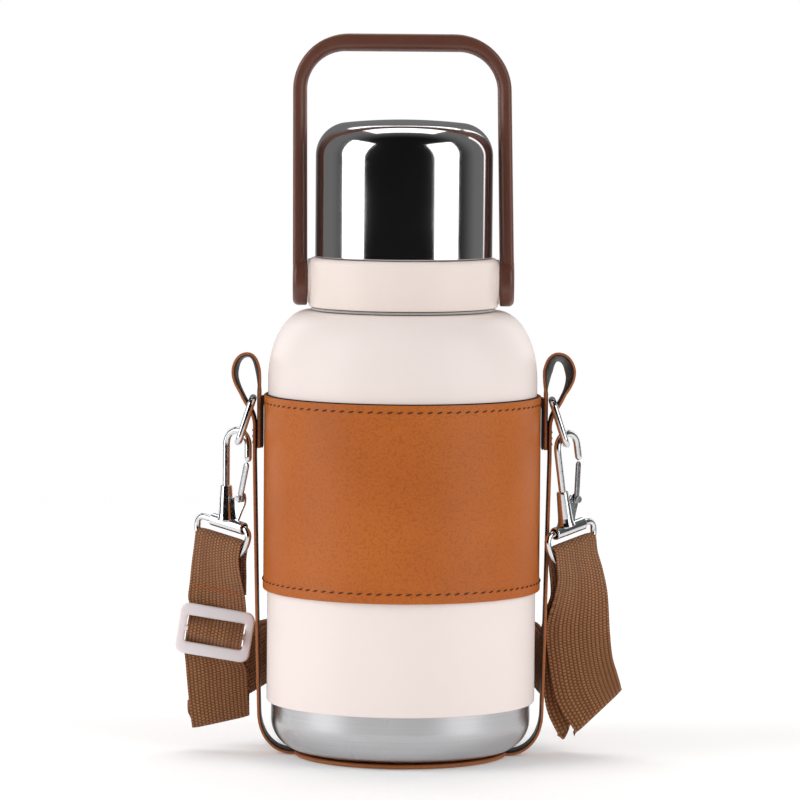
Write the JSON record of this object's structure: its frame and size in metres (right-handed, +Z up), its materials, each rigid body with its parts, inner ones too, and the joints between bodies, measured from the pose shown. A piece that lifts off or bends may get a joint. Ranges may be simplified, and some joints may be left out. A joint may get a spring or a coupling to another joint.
{
  "type": "insulated canteen",
  "caption": "Insulated steel canteen in a leather sleeve and cradle, with a bail-handle lid, a mirror-steel drinking cup on top, snap hooks and a webbing carry strap.",
  "frame": {"origin": "centre of the leather pad's flat underside, on the bottle's axis", "axes": "+Z up along the bottle's axis, +X to the right side strap, -Y towards the front"},
  "size_m": [0.1837, 0.1223, 0.295],
  "materials": {
    "coating": "warm off-white powder coating, satin, very fine texture",
    "base_steel": "stainless steel, brushed round the bottle",
    "polished_steel": "mirror-polished stainless steel with faint upright brushing",
    "chrome": "nickel-plated wire and die-cast, bright",
    "spring_steel": "plain steel wire",
    "leather": "tan pebble-grain leather with a satin finish",
    "lining": "black woven lining",
    "white_plastic": "warm off-white moulded plastic, satin",
    "silicone": "translucent white silicone",
    "brown_plastic": "dark brown moulded plastic, semi-gloss",
    "webbing": "brown woven polyester webbing, 25 mm"
  },
  "bodies": {
    "bottle": {"outer_shell": "coating", "neck_ring": "base_steel", "base_cup": "base_steel", "inner_liner": "base_steel", "getter_disc": "base_steel", "leather_sleeve": "leather", "sleeve_lining": "lining", "leather_cradle": "leather", "left_strap_keeper": "lining", "right_strap_keeper": "lining", "left_webbing": "webbing", "right_webbing": "webbing", "back_webbing": "webbing"},
    "lid": {"collar": "white_plastic", "collar_gasket": "silicone", "stopper_body": "white_plastic", "stopper_gasket": "silicone", "button_spring": "spring_steel", "left_handle_pin": "spring_steel", "right_handle_pin": "spring_steel"},
    "cup": {"cup_shell": "polished_steel", "cup_thread_ring": "white_plastic"},
    "handle": {"handle": "brown_plastic"},
    "button": {"pour_button": "white_plastic", "valve_stem": "white_plastic", "valve_seal": "silicone"},
    "slider": {"strap_slider": "white_plastic"},
    "left_ring": {"left_ring": "chrome"},
    "left_hook": {"left_hook_wire": "chrome", "left_hook_base": "chrome", "left_gate_pin": "spring_steel", "left_gate_spring": "spring_steel"},
    "left_gate": {"left_gate": "chrome"},
    "left_loop": {"left_d_loop": "chrome", "left_webbing_end": "webbing"},
    "right_ring": {"right_ring": "chrome"},
    "right_hook": {"right_hook_wire": "chrome", "right_hook_base": "chrome", "right_gate_pin": "spring_steel", "right_gate_spring": "spring_steel"},
    "right_gate": {"right_gate": "chrome"},
    "right_loop": {"right_d_loop": "chrome", "right_webbing_end": "webbing"}
  },
  "joints": [
    {"name": "lid_lift", "type": "slide", "parent": "bottle", "child": "lid", "axis": [0, 0, 1], "range_m": [0, 0.06]},
    {"name": "cup_lift", "type": "slide", "parent": "lid", "child": "cup", "axis": [0, 0, 1], "range_m": [0, 0.024]},
    {"name": "handle_swing", "type": "hinge", "parent": "lid", "child": "handle", "pos_m": [0, 0, 0.1942], "axis": [1, 0, 0], "range_deg": [-105, 105]},
    {"name": "button_press", "type": "slide", "parent": "lid", "child": "button", "axis": [0, 0, 1], "range_m": [-0.003, 0], "stiffness_N_per_m": 500, "springref_m": 0.002, "deforming": ["button_spring"]},
    {"name": "slider_adjust", "type": "slide", "parent": "bottle", "child": "slider", "axis": [0.1564, 0, 0.9877], "range_m": [-0.015, 0.003]},
    {"name": "left_ring_swing", "type": "hinge", "parent": "bottle", "child": "left_ring", "pos_m": [-0.0613, 0, 0.1456], "axis": [0, 1, 0], "range_deg": [0, 14], "deforming": ["left_webbing"]},
    {"name": "left_hook_swing", "type": "hinge", "parent": "left_ring", "child": "left_hook", "pos_m": [-0.06686, 0, 0.12848], "axis": [0, 1, 0], "range_deg": [0, 12]},
    {"name": "left_gate_open", "type": "hinge", "parent": "left_hook", "child": "left_gate", "pos_m": [-0.0662, -0.00109, 0.1046], "axis": [-0.6428, -0.766, 0], "range_deg": [0, 22], "stiffness_Nm_per_rad": 0.01, "springref_deg": -17.19},
    {"name": "left_loop_swing", "type": "hinge", "parent": "left_hook", "child": "left_loop", "pos_m": [-0.07307, 0.00467, 0.09421], "axis": [0.7566, -0.6349, -0.1564], "range_deg": [-20, 5], "deforming": ["left_webbing_end"]},
    {"name": "right_ring_swing", "type": "hinge", "parent": "bottle", "child": "right_ring", "pos_m": [0.0613, 0, 0.1456], "axis": [0, -1, 0], "range_deg": [0, 14], "deforming": ["right_webbing"]},
    {"name": "right_hook_swing", "type": "hinge", "parent": "right_ring", "child": "right_hook", "pos_m": [0.06686, 0, 0.12848], "axis": [0, -1, 0], "range_deg": [0, 12]},
    {"name": "right_gate_open", "type": "hinge", "parent": "right_hook", "child": "right_gate", "pos_m": [0.07146, 0.0012, 0.10528], "axis": [0.7193, -0.6947, 0], "range_deg": [0, 22], "stiffness_Nm_per_rad": 0.01, "springref_deg": -17.19},
    {"name": "right_loop_swing", "type": "hinge", "parent": "right_hook", "child": "right_loop", "pos_m": [0.06886, -0.00149, 0.0936], "axis": [0.683, 0.7073, 0.1822], "range_deg": [-20, 5], "deforming": ["right_webbing_end"]}
  ]
}
